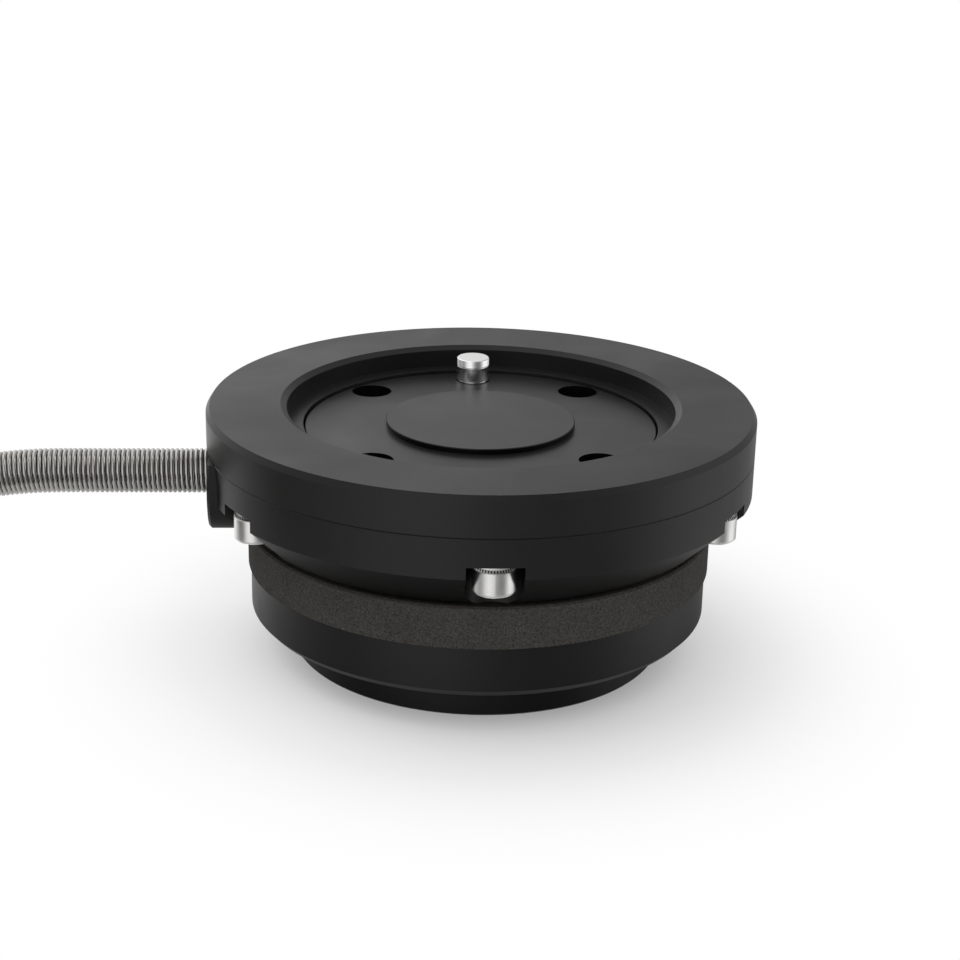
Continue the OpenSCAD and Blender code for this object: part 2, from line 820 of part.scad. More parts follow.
module end_sleeve() {
  r = sleeve_d / 2;
  lip = 0.6;
  color("#bdbdbd")
    outwards(sleeve_x, plug_z)
      difference() {
        turned([
          [0, 0], [r - lip, 0], [r, lip], [r, sleeve_len - sleeve_neck],
          [r + lip, sleeve_len - sleeve_neck], [r + lip, sleeve_len], [0, sleeve_len]
        ]);
        translate([0, 0, -eps]) cylinder(d = conduit_d + end_play, h = sleeve_seat + eps);
      }
}

module plug_body() {
  r = plug_body_d / 2;
  neck_r = r - 0.8;
  bore_r = insert_d / 2 + thread_fit;
  seat = plug_body_len - insert_seat;
  groove_w = 1.2;
  groove_depth = 0.4;
  groove_start = 4;
  color("#222222")
    outwards(plug_body_x, plug_z)
      difference() {
        turned([
          [0, 0], [r - 1, 0], [r, 1], [r, seat - 1], [neck_r, seat], [neck_r, plug_body_len],
          [bore_r, plug_body_len], [bore_r, seat], [0, seat]
        ]);
        around(12, r - groove_depth)
          translate([0, -groove_w / 2, groove_start])
            cube([2, groove_w, seat - 2 * groove_start]);
      }
}

module plug_nut() {
  r = plug_nut_d / 2;
  bore_r = insert_d / 2 + 1;
  edge = 0.5;
  thread_r = plug_thread_d / 2;
  end = plug_nut_len + plug_thread_len;
  rib = 0.35;
  color("#c4c4c4")
    outwards(plug_nut_x, plug_z)
      difference() {
        turned([
          [bore_r, 0], [r - edge, 0], [r, edge], [r, plug_nut_len - edge], [r - edge, plug_nut_len],
          [thread_r - edge, plug_nut_len], [thread_r - edge, plug_nut_len + edge],
          [thread_r, plug_nut_len + 2 * edge], [thread_r, end - edge], [thread_r - edge, end],
          [bore_r, end]
        ]);
        around(plug_ribs, r - rib)
          translate([0, -rib, 2 * edge]) cube([1, 2 * rib, plug_nut_len - 4 * edge]);
      }
}

module plug_insert() {
  r = insert_d / 2;
  wall = 0.8;
  floor_z = insert_len - insert_well;
  color("#1c1c1e")
    outwards(plug_nut_x, plug_z)
      difference() {
        turned([
          [0, -insert_seat], [r, -insert_seat], [r, insert_len], [r - wall, insert_len],
          [r - wall, floor_z], [0, floor_z]
        ]);
        around(pin_count, pin_pcd / 2)
          translate([0, 0, pin_start]) cylinder(d = pin_d + 2 * pin_fit, h = pin_len, $fn = 24);
        translate([r - 1.5 * wall, -wall, floor_z]) cube([wall, 2 * wall, insert_len]);
      }
}

module plug_pins() {
  color("#c8a24a")
    outwards(plug_nut_x, plug_z)
      around(pin_count, pin_pcd / 2)
        translate([0, 0, pin_start]) cylinder(d = pin_d, h = pin_len, $fn = 24);
}

coupling_ring();
coupling_plate();
flange_dowel();
plate_pins();
ring_pin();
seal_ring();
sensor_flange();
ring_screws();
lock_washers();
cable_block();
block_screws();
clamp_screw();
inner_wires();
sensing_element();
hub_screws();
element_screws();
signal_board();
board_chips();
board_socket();
wire_plug();
board_spacers();
board_screws();
foam_seal();
tool_body();
conduit();
conduit_coil();
conduit_tail();
end_sleeve();
plug_body();
plug_nut();
plug_insert();
plug_pins();
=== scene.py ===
"""Looks of a wrist force torque sensor: its finishes, its finer pieces, the light and the camera.

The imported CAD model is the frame. Its solids keep their shape and get a finish each. Three pieces
that the frame holds in a plainer form are made here: the lead is wound from its round wire, the
lock washers get their fine ribs, and the dowel gets its taper and its crisp lead. Everything is in
metres: the origin is the centre of the tool-side face, +Z runs to the robot, +Y points at the
dowel and the lead leaves along -X.
"""

from __future__ import annotations

import json
import logging
import math
from dataclasses import dataclass
from enum import Enum

import bmesh
import bpy
from mathutils import Matrix, Vector


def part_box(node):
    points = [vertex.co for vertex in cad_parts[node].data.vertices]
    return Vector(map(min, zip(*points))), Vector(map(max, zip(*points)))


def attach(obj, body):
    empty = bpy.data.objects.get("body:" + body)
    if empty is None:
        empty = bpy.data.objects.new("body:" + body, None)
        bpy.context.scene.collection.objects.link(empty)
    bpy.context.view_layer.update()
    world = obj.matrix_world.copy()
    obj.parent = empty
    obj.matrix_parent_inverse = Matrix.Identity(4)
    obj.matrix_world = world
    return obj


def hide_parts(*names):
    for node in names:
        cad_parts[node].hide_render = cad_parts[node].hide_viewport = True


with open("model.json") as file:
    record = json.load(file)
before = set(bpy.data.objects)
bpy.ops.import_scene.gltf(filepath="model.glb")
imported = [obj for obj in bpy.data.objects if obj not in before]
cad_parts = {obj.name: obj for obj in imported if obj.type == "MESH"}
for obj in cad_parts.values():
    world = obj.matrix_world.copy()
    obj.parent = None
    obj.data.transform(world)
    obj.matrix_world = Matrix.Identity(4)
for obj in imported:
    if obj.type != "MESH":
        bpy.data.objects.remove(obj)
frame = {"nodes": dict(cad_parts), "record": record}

LOG = logging.getLogger("force_torque_sensor")
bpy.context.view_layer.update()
BODY = "root"
MM = 0.001
MERGE = 1e-7
FLAT = (1.0, 1.0, 0.0)

Color = tuple[float, float, float]
Point = tuple[float, float, float]
Span = tuple[float, float]
Socket = bpy.types.NodeSocket
Tree = bpy.types.NodeTree
Piece = bpy.types.Object
Mesh = bpy.types.Mesh


# -------- node helpers


def rgba(color: Color, tone: float = 1.0) -> tuple[float, ...]:
    """The colour with full alpha, its brightness times tone."""
    return (*(part * tone for part in color), 1.0)


def grey(level: float) -> tuple[float, ...]:
    """A grey with full alpha."""
    return (level, level, level, 1.0)


def emptied(owner: bpy.types.Material | bpy.types.World) -> Tree:
    """Turns on the nodes of a new material or world and clears them.

    Args:
        owner: The material or world.

    Returns:
        Its empty tree.
    """
    owner.use_nodes = True
    owner.node_tree.nodes.clear()
    return owner.node_tree


class Wiring:
    """Adds nodes to a tree and links them, so that the tree reads as one list of steps."""

    NUMBERS = ("LENGTH", "DISTANCE", "DOT_PRODUCT")

    def __init__(self, tree: Tree) -> None:
        """Keeps the tree that the nodes go into."""
        self.tree = tree

    def add(self, kind: str, links: dict | None = None, **settings: object) -> bpy.types.Node:
        """Adds one node.

        Args:
            kind: The node's type.
            links: Input name or number to a value, or to an output socket to link.
            **settings: Properties of the node, such as operation.

        Returns:
            The new node.
        """
        node = self.tree.nodes.new(kind)
        for key, value in settings.items():
            setattr(node, key, value)
        for key, value in (links or {}).items():
            if isinstance(value, bpy.types.NodeSocket):
                self.tree.links.new(value, node.inputs[key])
            else:
                node.inputs[key].default_value = value
        return node

    def get(self, kind: str, links: dict | None = None, **settings: object) -> Socket:
        """Adds one node as add does, and gives its first output."""
        return self.add(kind, links, **settings).outputs[0]

    def math(self, operation: str, *values: object) -> Socket:
        """Adds a Math node, whose values are numbers or output sockets."""
        return self.get("ShaderNodeMath", dict(enumerate(values)), operation=operation)

    def vector(self, operation: str, *values: object) -> Socket:
        """Adds a Vector Math node.

        Args:
            operation: What it does, such as "NORMALIZE".
            *values: Its inputs in order, as vectors or output sockets.

        Returns:
            The resulting number for an operation of NUMBERS, or else the vector.
        """
        node = self.add("ShaderNodeVectorMath", dict(enumerate(values)), operation=operation)
        return node.outputs["Value" if operation in self.NUMBERS else "Vector"]

    def blend(self, *shares: tuple[Socket, float]) -> Socket:
        """Adds values up.

        Args:
            *shares: [value, factor] pairs.

        Returns:
            The sum of the values times their factors.
        """
        parts = [self.math("MULTIPLY", value, factor) for value, factor in shares]
        total = parts[0]
        for part in parts[1:]:
            total = self.math("ADD", total, part)
        return total

    def mix(self, factor: Socket, low: object, high: object) -> Socket:
        """Mixes two colours.

        Args:
            factor: 0 gives low, 1 gives high.
            low: A colour or an output socket.
            high: A colour or an output socket.

        Returns:
            The mixed colour.
        """
        links = {0: factor, 6: low, 7: high}
        return self.add("ShaderNodeMix", links, data_type="RGBA").outputs[2]

    def ramp(
        self,
        value: Socket,
        low: float,
        high: float,
        start: float = 0.0,
        end: float = 1.0,
        **settings: object,
    ) -> Socket:
        """Maps a value evenly, and holds the ends beyond them.

        Args:
            value: The value.
            low: The value that becomes start.
            high: The value that becomes end.
            start: The result at low.
            end: The result at high.
            **settings: Properties of the node.

        Returns:
            The mapped value.
        """
        links = {0: value, 1: low, 2: high, 3: start, 4: end}
        return self.get("ShaderNodeMapRange", links, **settings)

    def part(self, vector: Socket, axis: int) -> Socket:
        """One part of a vector: 0 is X, 1 is Y and 2 is Z."""
        return self.add("ShaderNodeSeparateXYZ", {0: vector}).outputs[axis]

    def spot(self) -> Socket:
        """Where the shaded spot is."""
        return self.add("ShaderNodeTexCoord").outputs["Object"]

    def facing(self) -> Socket:
        """The way that the shaded face looks."""
        return self.add("ShaderNodeNewGeometry").outputs["Normal"]

    def rays(self) -> tuple[Socket, Socket]:
        """Tells two kinds of rays apart.

        Returns:
            A mask of the rays that see a thing itself, and one of those that see it mirrored.
        """
        path = self.add("ShaderNodeLightPath").outputs
        seen = self.math("MAXIMUM", path["Is Camera Ray"], path["Is Transmission Ray"])
        return seen, path["Is Glossy Ray"]


def new_group(
    name: str, family: str, inputs: dict[str, str], outputs: dict[str, str]
) -> tuple[Wiring, bpy.types.NodeOutputs]:
    """Makes a node group with named sockets.

    Args:
        name: The group's name.
        family: "Shader" or "Geometry".
        inputs: Each input's kind by its name, such as "Float".
        outputs: Each output's kind by its name.

    Returns:
        The group's wiring, and its inputs to link from.
    """
    tree = bpy.data.node_groups.new(name, f"{family}NodeTree")
    for way, sockets in (("OUTPUT", outputs), ("INPUT", inputs)):
        for label, kind in sockets.items():
            tree.interface.new_socket(label, in_out=way, socket_type=f"NodeSocket{kind}")
    wire = Wiring(tree)
    return wire, wire.add("NodeGroupInput").outputs


# -------- shared shader effects


class Effects:
    """Shader node groups that several finishes share."""

    def __init__(self) -> None:
        """Builds each group once."""
        self.grain = self.noise("Blasted grain", (0.35, 0.65), Detail=2.0, Roughness=0.6)
        self.patches = self.noise("Handling patches", (0.3, 0.7), Detail=3.0, Distortion=0.4)
        self.turning = self.turning_marks()

    @staticmethod
    def noise(name: str, span: Span, **values: float) -> Tree:
        """Spots of a size: a height, and a mask that speckles a colour.

        Args:
            name: The group's name.
            span: The heights at which the mask is 0 and 1.
            **values: Inputs of the Noise Texture node.

        Returns:
            The group.
        """
        outputs = {"Height": "Float", "Mask": "Float"}
        wire, inputs = new_group(name, "Shader", {"Size": "Float"}, outputs)
        scale = wire.math("DIVIDE", 1.0, inputs["Size"])
        links = {"Vector": wire.spot(), "Scale": scale, **values}
        height = wire.add("ShaderNodeTexNoise", links).outputs["Fac"]
        wire.add("NodeGroupOutput", {"Height": height, "Mask": wire.ramp(height, *span)})
        return wire.tree

    @staticmethod
    def turning_marks() -> Tree:
        """Turning marks: fine rings around an upright axis, and fine lines up its side.

        Returns:
            The group.
        """
        sizes = dict.fromkeys(("Axis X", "Axis Y", "Pitch"), "Float")
        wire, inputs = new_group("Turning marks", "Shader", sizes, {"Height": "Float"})
        axis = wire.get("ShaderNodeCombineXYZ", {0: inputs["Axis X"], 1: inputs["Axis Y"]})
        apart = wire.vector("SUBTRACT", wire.spot(), axis)
        reach = wire.vector("LENGTH", wire.vector("MULTIPLY", apart, FLAT))
        rings = wire.math("DIVIDE", reach, inputs["Pitch"])
        lines = wire.math("DIVIDE", wire.part(apart, 2), inputs["Pitch"])
        spot = wire.get("ShaderNodeCombineXYZ", {0: rings, 1: lines})
        marks = wire.add("ShaderNodeTexNoise", {"Vector": spot, "Scale": 1.0, "Detail": 2.0})
        wire.add("NodeGroupOutput", {"Height": marks.outputs["Fac"]})
        return wire.tree


class Paint(Wiring):
    """A material in the making, built around its Principled shader."""

    def __init__(self, name: str, effects: Effects, values: dict[str, object]) -> None:
        """Makes the plain material.

        Args:
            name: The material's name.
            effects: The shared shader groups.
            values: The shader's inputs.
        """
        self.material = bpy.data.materials.new(name)
        super().__init__(emptied(self.material))
        self.effects = effects
        self.shader = self.add("ShaderNodeBsdfPrincipled", values)
        self.add("ShaderNodeOutputMaterial", {0: self.shader.outputs[0]})

    def feed(self, name: str, value: Socket) -> None:
        """Links an output to one of the shader's inputs."""
        self.tree.links.new(value, self.shader.inputs[name])

    def fed(self, name: str) -> Socket:
        """The output that feeds one of the shader's inputs."""
        return self.shader.inputs[name].links[0].from_socket

    def place(self, group: Tree, **values: float) -> bpy.types.NodeOutputs:
        """Places a shared group, whose inputs are named with _ for a space."""
        links = {key.replace("_", " "): value for key, value in values.items()}
        return self.add("ShaderNodeGroup", links, node_tree=group).outputs

    def gloss(self, mask: Socket, middle: float, play: float) -> None:
        """Spreads the roughness by the mask, as far as play on both sides of the middle."""
        self.feed("Roughness", self.ramp(mask, 0.0, 1.0, middle - play, middle + play))

    def bump(self, depth: float, height: Socket) -> None:
        """Gives the surface a relief of that depth."""
        links = {"Distance": depth, "Height": height}
        self.feed("Normal", self.get("ShaderNodeBump", links))

    def soften(self, radius: float, samples: int) -> None:
        """Rounds the shading at the edges."""
        links = {"Radius": radius, "Normal": self.fed("Normal")}
        self.feed("Normal", self.get("ShaderNodeBevel", links, samples=samples))

    def lean(self, push: Socket) -> None:
        """Leans the shading by a vector, as a crowned or a dished face does."""
        leaned = self.vector("ADD", self.fed("Normal"), push)
        self.feed("Normal", self.vector("NORMALIZE", leaned))


# -------- finishes


@dataclass(frozen=True)
class Finish:
    """What every finish has: a name, a colour and how it shines."""

    name: str
    color: Color
    roughness: float = 0.4
    metallic: float = 0.0
    specular: float = 0.5

    def material(self, effects: Effects) -> bpy.types.Material:
        """Makes the material.

        Args:
            effects: The shared shader groups.

        Returns:
            The material.
        """
        values = {
            "Base Color": rgba(self.color),
            "Roughness": self.roughness,
            "Metallic": self.metallic,
            "Specular IOR Level": self.specular,
        }
        paint = Paint(self.name, effects, values)
        self.detail(paint)
        return paint.material

    def detail(self, paint: Paint) -> None:
        """Adds the finish's own texture to the material in the making."""


@dataclass(frozen=True)
class Anodised(Finish):
    """Blasted aluminium, anodised, with patches of gloss from handling.

    A face whose rise, the upward part of its normal, is below slope gets a darker tone: painted
    shade on walls, in holes and on faces that look down.
    """

    specular: float = 0.25
    grain_size: float = 0.00022
    grain_depth: float = 0.0000045
    grain_share: float = 0.6
    patch_size: float = 0.018
    color_play: float = 0.18
    gloss_play: float = 0.05
    edge: float = 0.0
    edge_samples: int = 4
    slope: Span = (0.3, 0.7)
    slope_tone: float = 1.0

    def detail(self, paint: Paint) -> None:
        """Adds grain, handling patches, painted shade on steep and downward faces, and softened
        edges.

        Args:
            paint: The material in the making.
        """
        grain = paint.place(paint.effects.grain, Size=self.grain_size)
        patch = paint.place(paint.effects.patches, Size=self.patch_size)["Mask"]
        spots = paint.blend((grain["Mask"], self.grain_share), (patch, 1.0 - self.grain_share))
        deep, pale = (rgba(self.color, 1.0 + play) for play in (-self.color_play, self.color_play))
        color = paint.mix(spots, deep, pale)
        # Painted shade: faces that look sideways or down are darkened, as if shade fell on them in
        # holes, on walls and under overhangs.
        if self.slope_tone < 1.0:
            rise = paint.part(paint.facing(), 2)
            color = paint.mix(paint.ramp(rise, *self.slope, self.slope_tone), grey(0.0), color)
        paint.feed("Base Color", color)
        paint.gloss(patch, self.roughness, self.gloss_play)
        paint.bump(self.grain_depth, grain["Height"])
        if self.edge > 0.0:
            paint.soften(self.edge, self.edge_samples)


@dataclass(frozen=True)
class Foam(Finish):
    """Fine open-cell foam: dull, speckled with its cells and slightly uneven.

    The grain's and the flecks' sizes are in cells. The shares are of grain, flecks and patches.
    """

    specular: float = 0.15
    cell_size: float = 0.00026
    cell_depth: float = 0.00005
    grain_cells: float = 0.8
    fleck_cells: float = 1.7
    patch_size: float = 0.006
    shares: tuple[float, float, float] = (0.6, 0.3, 0.1)
    pale: Color = (0.062, 0.0577, 0.0528)

    def detail(self, paint: Paint) -> None:
        """Adds the cells as colour and relief.

        Args:
            paint: The material in the making.
        """
        links = {"Vector": paint.spot(), "Scale": 1.0 / self.cell_size}
        cells = paint.add("ShaderNodeTexVoronoi", links).outputs["Distance"]
        grain, fleck = (
            paint.place(paint.effects.grain, Size=self.cell_size * size)
            for size in (self.grain_cells, self.fleck_cells)
        )
        patch = paint.place(paint.effects.patches, Size=self.patch_size)
        spots = paint.blend(*zip((grain["Mask"], fleck["Mask"], patch["Mask"]), self.shares))
        paint.feed("Base Color", paint.mix(spots, rgba(self.color), rgba(self.pale)))
        paint.bump(self.cell_depth, paint.math("ADD", cells, grain["Height"]))


@dataclass(frozen=True)
class Steel(Finish):
    """Bright or plated metal with the fine marks of its tool."""

    metallic: float = 1.0
    axis: Span = (0.0, 0.0)
    pitch: float = 0.00012
    mark_depth: float = 0.0000015
    mark_tone: float = 0.82
    patch_size: float = 0.003
    gloss_play: float = 0.06

    def detail(self, paint: Paint) -> None:
        """Adds turning marks and patches of gloss.

        Args:
            paint: The material in the making.
        """
        turning = paint.effects.turning
        x, y = self.axis
        marks = paint.place(turning, Axis_X=x, Axis_Y=y, Pitch=self.pitch)["Height"]
        patch = paint.place(paint.effects.patches, Size=self.patch_size)["Mask"]
        paint.gloss(patch, self.roughness, self.gloss_play)
        deep = rgba(self.color, self.mark_tone)
        paint.feed("Base Color", paint.mix(marks, deep, rgba(self.color)))
        paint.bump(self.mark_depth, marks)


@dataclass(frozen=True)
class DowelSteel(Steel):
    """Hardened steel with a crowned upper land, a rounded lead above it and bright flanks.

    A flank is where the face looks sideways. It is shaded as if it looked more to the front.
    """

    land_z: float = 0.04019
    lead_z: float = 0.04133
    blend: float = 0.00004
    crown: float = 0.3
    lead_crown: float = 0.9
    flank: Span = (0.75, 0.95)
    flank_turn: float = -1.2
    flank_crown: float = 0.25

    def detail(self, paint: Paint) -> None:
        """Adds turning marks, then crowns the land, the lead and the flanks.

        Args:
            paint: The material in the making.
        """
        super().detail(paint)
        height = paint.part(paint.spot(), 2)
        land, lead = (
            paint.ramp(height, z - self.blend, z + self.blend) for z in (self.land_z, self.lead_z)
        )
        sideways = paint.math("ABSOLUTE", paint.part(paint.facing(), 0))
        flank = paint.math("MULTIPLY", land, paint.ramp(sideways, *self.flank))
        rise = paint.blend((land, self.crown), (lead, self.lead_crown), (flank, self.flank_crown))
        ahead = paint.math("MULTIPLY", flank, self.flank_turn)
        paint.lean(paint.get("ShaderNodeCombineXYZ", {1: ahead, 2: rise}))


@dataclass(frozen=True)
class WasherSteel(Steel):
    """Plated spring steel, dished so that it catches the light from outside, painted shade in its
    gaps.
    """

    dish: float = 2.0
    cone_z: float = 0.03009
    blend: float = 0.00003
    # Painted shade: the ribs' tone, and the dark grey that the gaps and the inward faces get.
    rib_tone: float = 0.4
    outside: Span = (0.22, 0.36)
    gap: float = 0.0003
    gap_clear: Span = (0.5, 0.9)
    gap_samples: int = 8
    dark: float = 0.02

    def detail(self, paint: Paint) -> None:
        """Adds turning marks, paints shade into the gaps, the ribs and the inward faces, and leans
        the shading away from the sensor's axis.

        Args:
            paint: The material in the making.
        """
        super().detail(paint)
        spot = paint.spot()
        outward = paint.vector("NORMALIZE", paint.vector("MULTIPLY", spot, FLAT))
        turned = paint.vector("DOT_PRODUCT", paint.facing(), outward)
        cone = (self.cone_z - self.blend, self.cone_z + self.blend, self.rib_tone)
        clear = paint.add(
            "ShaderNodeAmbientOcclusion",
            {"Distance": self.gap},
            samples=self.gap_samples,
            only_local=True,
        ).outputs["AO"]
        # Painted shade: the colour goes to dark grey in closed gaps, on faces that look towards the
        # sensor's axis and partly on the ribs below the cone.
        lit = paint.math(
            "MULTIPLY", paint.ramp(turned, *self.outside), paint.ramp(paint.part(spot, 2), *cone)
        )
        lit = paint.math("MULTIPLY", lit, paint.ramp(clear, *self.gap_clear))
        paint.feed("Base Color", paint.mix(lit, grey(self.dark), paint.fed("Base Color")))
        paint.lean(paint.vector("MULTIPLY", outward, (self.dish,) * 3))


@dataclass(frozen=True)
class ScrewSteel(Steel):
    """Bright steel with softened edges and a painted highlight round each head's end."""

    rim_z: float = 0.02575
    # Painted highlight: the band at the head's end and its near white colour.
    rim_height: float = 0.0003
    rim: Color = (1.0, 0.99, 0.98)
    edge: float = 0.0005
    edge_samples: int = 8

    def detail(self, paint: Paint) -> None:
        """Adds turning marks, the soft edges and the rim's painted highlight, where the shading is
        also crowned.

        Args:
            paint: The material in the making.
        """
        super().detail(paint)
        # Painted highlight: a thin band at the head's end is mixed towards near white.
        rim = paint.ramp(paint.part(paint.spot(), 2), self.rim_z + self.rim_height, self.rim_z)
        paint.feed("Base Color", paint.mix(rim, paint.fed("Base Color"), rgba(self.rim)))
        paint.soften(self.edge, self.edge_samples)
        paint.lean(paint.get("ShaderNodeCombineXYZ", {2: rim}))


@dataclass(frozen=True)
class Moulded(Finish):
    """Moulded plastic or rubber: one colour with a soft spark-eroded grain."""

    grain_size: float = 0.0004
    grain_depth: float = 0.000012
    grain_tone: float = 0.85

    def detail(self, paint: Paint) -> None:
        """Adds grain and a slight play of colour.

        Args:
            paint: The material in the making.
        """
        grain = paint.place(paint.effects.grain, Size=self.grain_size)
        deep = rgba(self.color, self.grain_tone)
        paint.feed("Base Color", paint.mix(grain["Mask"], deep, rgba(self.color)))
        paint.bump(self.grain_depth, grain["Height"])


@dataclass(frozen=True)
class Laminate(Finish):
    """Circuit board: green lacquer over tracks that show as paler lines."""

    track: Color = (0.05, 0.2, 0.09)
    track_pitch: float = 0.0025
    track_disorder: float = 0.6
    track_edge: float = 0.62
    grain_size: float = 0.0006
    grain_depth: float = 0.00001

    def detail(self, paint: Paint) -> None:
        """Adds the tracks and the lacquer's grain.

        Args:
            paint: The material in the making.
        """
        cells = paint.add(
            "ShaderNodeTexVoronoi",
            {
                "Vector": paint.spot(),
                "Scale": 1.0 / self.track_pitch,
                "Randomness": self.track_disorder,
            },
            distance="MANHATTAN",
        ).outputs["Distance"]
        mask = paint.math("GREATER_THAN", cells, self.track_edge)
        paint.feed("Base Color", paint.mix(mask, rgba(self.color), rgba(self.track)))
        grain = paint.place(paint.effects.grain, Size=self.grain_size)
        paint.bump(self.grain_depth, grain["Height"])


class Look(Enum):
    """The finish of each material slot of the record."""

    RING_BLACK = Anodised("ring_black", (0.0085, 0.0085, 0.0085), roughness=0.38, edge=0.00012)
    # Painted shade darkens the plate's hole walls, boss wall and faces that look down.
    PLATE_BLACK = Anodised(
        "plate_black", (0.0085, 0.0085, 0.0085), roughness=0.32, edge=0.00012, slope_tone=0.15
    )
    # Painted shade darkens the flange's faces that look down.
    FLANGE_BLACK = Anodised(
        "flange_black",
        (0.0075, 0.0075, 0.0075),
        roughness=0.38,
        slope=(-0.5, -0.1),
        slope_tone=0.2,
    )
    BODY_BLACK = Anodised("body_black", (0.007, 0.007, 0.007), roughness=0.36)
    BLOCK_BLACK = Anodised("block_black", (0.0065, 0.0065, 0.007), roughness=0.38)
    DOWEL_STEEL = DowelSteel("dowel_steel", (0.97, 0.965, 0.96), roughness=0.2, axis=(0.0, 0.025))
    PIN_STEEL = Steel("pin_steel", (0.6, 0.6, 0.6), roughness=0.3)
    SCREW_STEEL = ScrewSteel("screw_steel", (0.88, 0.875, 0.86), roughness=0.3)
    WASHER_STEEL = WasherSteel("washer_steel", (0.95, 0.945, 0.93), roughness=0.25)
    BLACK_STEEL = Steel("black_steel", (0.03, 0.03, 0.03), roughness=0.45)
    INNER_SCREW_STEEL = Steel("inner_screw_steel", (0.6, 0.6, 0.62), roughness=0.35)
    ELEMENT_METAL = Steel("element_metal", (0.78, 0.78, 0.77), roughness=0.32)
    FOAM = Foam("foam", (0.0160, 0.0147, 0.0131), roughness=0.95)
    SEAL_RUBBER = Moulded("seal_rubber", (0.02, 0.02, 0.02), roughness=0.5)
    BOARD_GREEN = Laminate("board_green", (0.015, 0.1, 0.04), roughness=0.3)
    CHIP_BLACK = Moulded("chip_black", (0.02, 0.02, 0.022), roughness=0.5)
    SOCKET_IVORY = Moulded("socket_ivory", (0.7, 0.66, 0.54), roughness=0.45)
    PLUG_IVORY = Moulded("plug_ivory", (0.78, 0.74, 0.64), roughness=0.45)
    SPACER_BRASS = Steel("spacer_brass", (0.78, 0.58, 0.28), roughness=0.3)
    WIRE_GREY = Moulded("wire_grey", (0.16, 0.16, 0.17), roughness=0.5)
    CONDUIT_STEEL = Steel(
        "conduit_steel", (0.58, 0.565, 0.54), roughness=0.17, mark_depth=1e-7, gloss_play=0.03
    )
    SLEEVE_STEEL = Steel("sleeve_steel", (0.72, 0.71, 0.69), roughness=0.24)
    LEAD_PLUG_BLACK = Moulded("lead_plug_black", (0.022, 0.022, 0.022), roughness=0.48)
    NUT_NICKEL = Steel("nut_nickel", (0.72, 0.70, 0.67), roughness=0.26)
    INSERT_BLACK = Moulded("insert_black", (0.02, 0.02, 0.02), roughness=0.5)
    CONTACT_GOLD = Steel("contact_gold", (0.9, 0.66, 0.26), roughness=0.2)
    CORE_BLACK = Moulded("core_black", (0.02, 0.02, 0.02), roughness=0.6)
    TIE_BLACK = Moulded("tie_black", (0.025, 0.025, 0.027), roughness=0.75, grain_size=0.0008)


class Wardrobe:
    """Holds the made material of each finish."""

    def __init__(self) -> None:
        """Makes the shared effects and every material."""
        effects = Effects()
        self.made = {look: look.value.material(effects) for look in Look}

    def of(self, look: Look) -> bpy.types.Material:
        """The material of a finish."""
        return self.made[look]

    def dress_frame(self) -> None:
        """Gives every CAD node the finish that the record's slot names."""
        slots = {part["node"]: part["material_slot"] for part in frame["record"]["subparts"]}
        for name, node in frame["nodes"].items():
            look = Look[slots[name].upper()]
            node.data.materials.clear()
            node.data.materials.append(self.of(look))
            LOG.info("%s wears %s", name, look.value.name)


# -------- mesh helpers


def placed(name: str, mesh: Mesh) -> Piece:
    """Adds a piece to the scene, at the origin.

    Args:
        name: The piece's name.
        mesh: Its mesh.

    Returns:
        The piece.
    """
    piece = bpy.data.objects.new(name, mesh)
    bpy.context.collection.objects.link(piece)
    return piece


def closed(name: str, shape: bmesh.types.BMesh) -> Mesh:
    """Makes a mesh of a shape.

    Args:
        name: The mesh's name.
        shape: The shape, which is freed.

    Returns:
        The mesh, its doubles merged and its faces turned outwards.
    """
    bmesh.ops.remove_doubles(shape, verts=shape.verts, dist=MERGE)
    bmesh.ops.recalc_face_normals(shape, faces=shape.faces)
    mesh = bpy.data.meshes.new(name)
    shape.to_mesh(mesh)
    shape.free()
    return mesh


def grown(name: str, mesh: Mesh, tree: Tree, values: dict[str, object]) -> Piece:
    """Runs a Geometry Nodes tree on a mesh and keeps the result as a plain mesh.

    Args:
        name: The new piece's name.
        mesh: What the tree starts from.
        tree: The tree.
        values: Its inputs by name.

    Returns:
        The piece, with no modifier left on it.
    """
    piece = placed(name, mesh)
    modifier = piece.modifiers.new(name, "NODES")
    modifier.node_group = tree
    for item in tree.interface.items_tree:
        if item.in_out == "INPUT" and item.name in values:
            modifier[item.identifier] = values[item.name]
    ready = piece.evaluated_get(bpy.context.evaluated_depsgraph_get())
    made = bpy.data.meshes.new_from_object(ready)
    piece.modifiers.clear()
    piece.data = made
    made.name = name
    return piece


def triangles(piece: Piece) -> int:
    """How many triangles the piece has."""
    return sum(len(face.vertices) - 2 for face in piece.data.polygons)


# -------- the lead


def smooth_path(points: list[Point], steps: int) -> list[Vector]:
    """A smooth line through the points.

    Args:
        points: The points that the line passes through.
        steps: How many pieces each stretch between two points is cut into.

    Returns:
        The line's points, the first and last of points included.
    """
    knots = [Vector(p) for p in points]
    knots = [2 * knots[0] - knots[1], *knots, 2 * knots[-1] - knots[-2]]
    line = []
    for a, b, c, d in zip(knots, knots[1:], knots[2:], knots[3:]):
        for i in range(steps):
            t = i / steps
            bend = (2 * a - 5 * b + 4 * c - d) * t**2
            twist = (3 * b - a - 3 * c + d) * t**3
            line.append(0.5 * (2 * b + (c - a) * t + bend + twist))
    return [*line, Vector(points[-1])]


